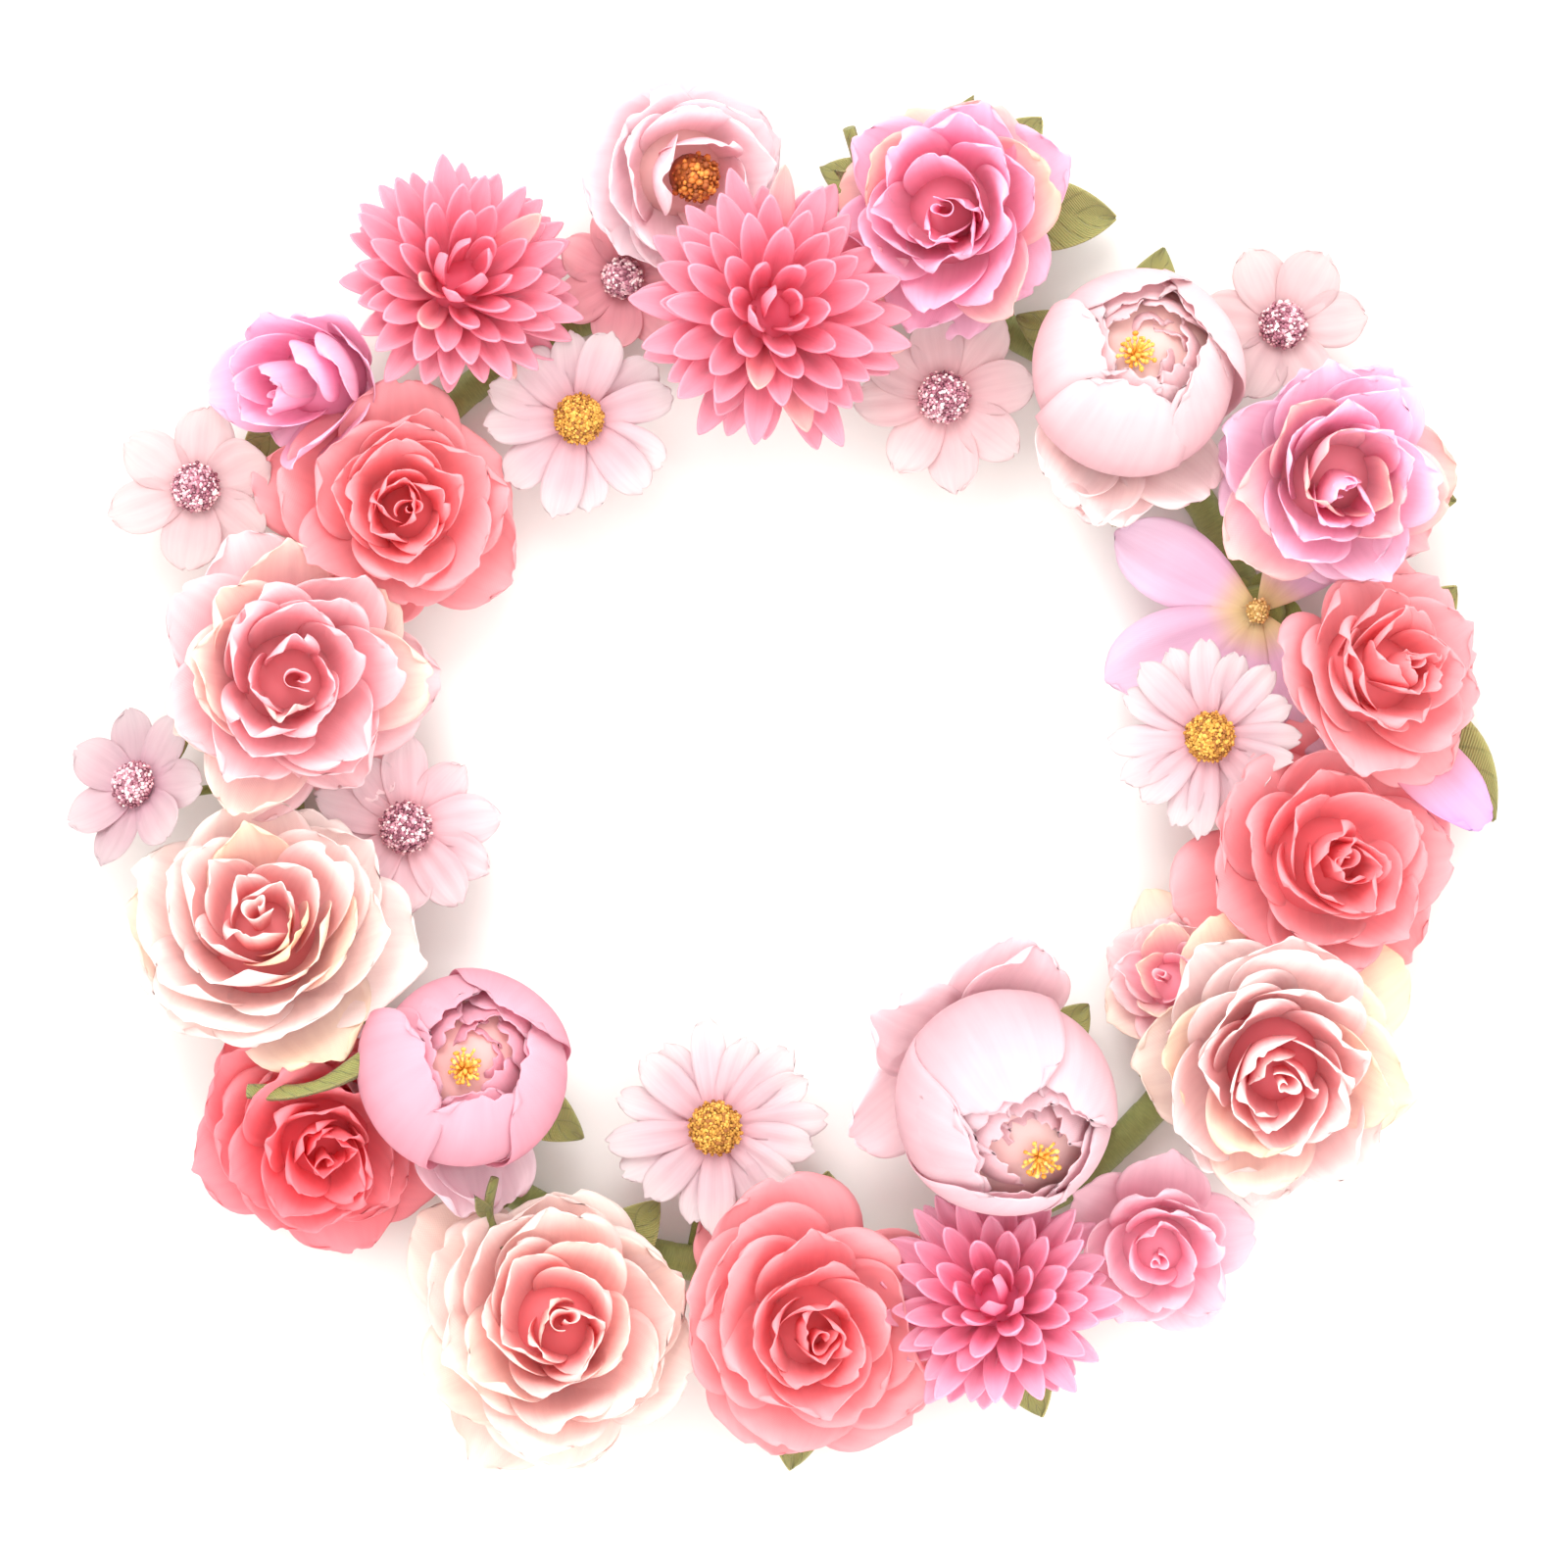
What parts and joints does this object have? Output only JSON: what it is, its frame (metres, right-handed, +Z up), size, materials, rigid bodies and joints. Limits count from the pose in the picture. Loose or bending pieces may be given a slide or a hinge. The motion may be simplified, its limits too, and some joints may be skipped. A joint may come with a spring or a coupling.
{
  "type": "flower crown",
  "caption": "Closed ring of fabric flower heads and leaves on wire stems, bound to a taped wire hoop that is worn round the head.",
  "frame": {"origin": "middle of the crown's own box, on the surface that it lies on", "axes": "+Z up out of the hoop, towards the faces of the flowers; +X to the right and +Y away as the crown is seen from above"},
  "size_m": [0.2638, 0.2552, 0.0511],
  "materials": {
    "dahlia_cloth": "matt stiffened cloth",
    "open_rose_cloth": "matt stiffened cloth",
    "cosmos_cloth": "matt stiffened cloth",
    "daisy_cloth": "matt stiffened cloth",
    "lilac_cloth": "matt stiffened cloth",
    "peony_cloth": "matt stiffened cloth",
    "bud_rose_cloth": "matt stiffened cloth",
    "pink_rose_cloth": "matt stiffened cloth",
    "coral_rose_cloth": "matt stiffened cloth",
    "cream_rose_cloth": "matt stiffened cloth",
    "blush_rose_cloth": "matt stiffened cloth",
    "small_rose_cloth": "matt stiffened cloth",
    "daisy_heart": "gold flocked beads",
    "cosmos_heart": "mauve glitter beads",
    "lilac_heart": "flocked",
    "peony_stamens": "yellow threads",
    "leaf_cloth": "matt twill cloth",
    "tape": "waxed crepe florist's tape",
    "wire": "bare drawn wire"
  },
  "bodies": {
    "root": {"hoop_wire": "wire", "hoop_tape": "tape", "dahlia_upper_left": "dahlia_cloth", "open_rose_top": "open_rose_cloth", "cosmos_small_top": "cosmos_cloth", "cosmos_small_top_heart": "cosmos_heart", "dahlia_top": "dahlia_cloth", "pink_rose_top": "pink_rose_cloth", "pink_rose_top_leaves": "leaf_cloth", "cosmos_top": "cosmos_cloth", "cosmos_top_heart": "cosmos_heart", "peony_upper_right": "peony_cloth", "peony_upper_right_heart": "peony_stamens", "peony_upper_right_leaves": "leaf_cloth", "cosmos_upper_right": "cosmos_cloth", "cosmos_upper_right_heart": "cosmos_heart", "pink_rose_right": "pink_rose_cloth", "pink_rose_right_leaves": "leaf_cloth", "lilac_right": "lilac_cloth", "lilac_right_heart": "lilac_heart", "coral_rose_outer_right": "coral_rose_cloth", "coral_rose_outer_right_leaves": "leaf_cloth", "daisy_right": "daisy_cloth", "daisy_right_heart": "daisy_heart", "coral_rose_right": "coral_rose_cloth", "small_rose_right": "small_rose_cloth", "cream_rose_lower_right": "cream_rose_cloth", "cream_rose_lower_right_leaves": "leaf_cloth", "peony_lower_right": "peony_cloth", "peony_lower_right_heart": "peony_stamens", "peony_lower_right_leaves": "leaf_cloth", "small_rose_lower_right": "small_rose_cloth", "dahlia_bottom": "dahlia_cloth", "dahlia_bottom_leaves": "leaf_cloth", "coral_rose_bottom": "coral_rose_cloth", "coral_rose_bottom_leaves": "leaf_cloth", "daisy_bottom": "daisy_cloth", "daisy_bottom_heart": "daisy_heart", "cream_rose_bottom": "cream_rose_cloth", "cream_rose_bottom_leaves": "leaf_cloth", "coral_rose_lower_left": "coral_rose_cloth", "coral_rose_lower_left_leaves": "leaf_cloth", "peony_lower_left": "peony_cloth", "peony_lower_left_heart": "peony_stamens", "peony_lower_left_leaves": "leaf_cloth", "cream_rose_left": "cream_rose_cloth", "cream_rose_left_leaves": "leaf_cloth", "cosmos_inner_left": "cosmos_cloth", "cosmos_inner_left_heart": "cosmos_heart", "cosmos_outer_left": "cosmos_cloth", "cosmos_outer_left_heart": "cosmos_heart", "cosmos_outer_left_leaves": "leaf_cloth", "blush_rose_left": "blush_rose_cloth", "cosmos_upper_left": "cosmos_cloth", "cosmos_upper_left_heart": "cosmos_heart", "bud_rose_upper_left": "bud_rose_cloth", "bud_rose_upper_left_leaves": "leaf_cloth", "coral_rose_upper_left": "coral_rose_cloth", "daisy_upper_left": "daisy_cloth", "daisy_upper_left_heart": "daisy_heart"}
  },
  "joints": []
}
